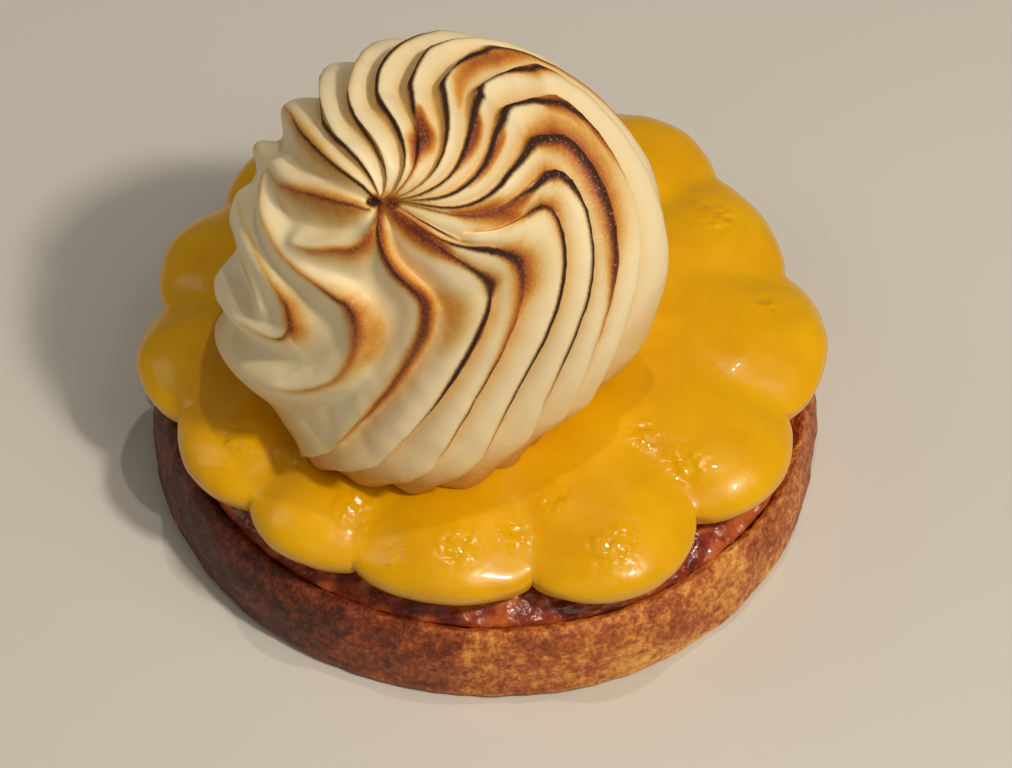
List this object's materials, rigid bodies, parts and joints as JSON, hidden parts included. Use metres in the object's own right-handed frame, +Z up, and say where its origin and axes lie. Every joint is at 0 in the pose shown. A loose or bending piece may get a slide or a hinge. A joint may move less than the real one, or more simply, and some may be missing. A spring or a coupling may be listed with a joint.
{
  "type": "lemon meringue pie",
  "caption": "Individual lemon meringue tart: round pastry shell, baked filling, scalloped glossy lemon curd and a tall piped, scorched meringue rosette.",
  "frame": {"origin": "centre of the flat underside of the pastry shell, on the surface the tart stands on", "axes": "+Z up out of the tart; -Y is the front, the side that the meringue leans towards; +X to the right seen from the front"},
  "size_m": [0.081, 0.0806, 0.0636],
  "materials": {
    "baked_pastry": "golden brown baked pastry with a fine crumb, lightly buttery, mottled",
    "glazed_filling": "dark red-brown baked filling under a wet, bubbly sugar glaze",
    "lemon_curd": "smooth, wet, slightly translucent deep yellow curd",
    "scorched_meringue": "satin cream meringue, scorched brown to black along the crests of its flutes"
  },
  "bodies": {
    "root": {"pastry_shell": "baked_pastry", "baked_filling": "glazed_filling", "lemon_curd": "lemon_curd", "meringue": "scorched_meringue"}
  },
  "joints": []
}
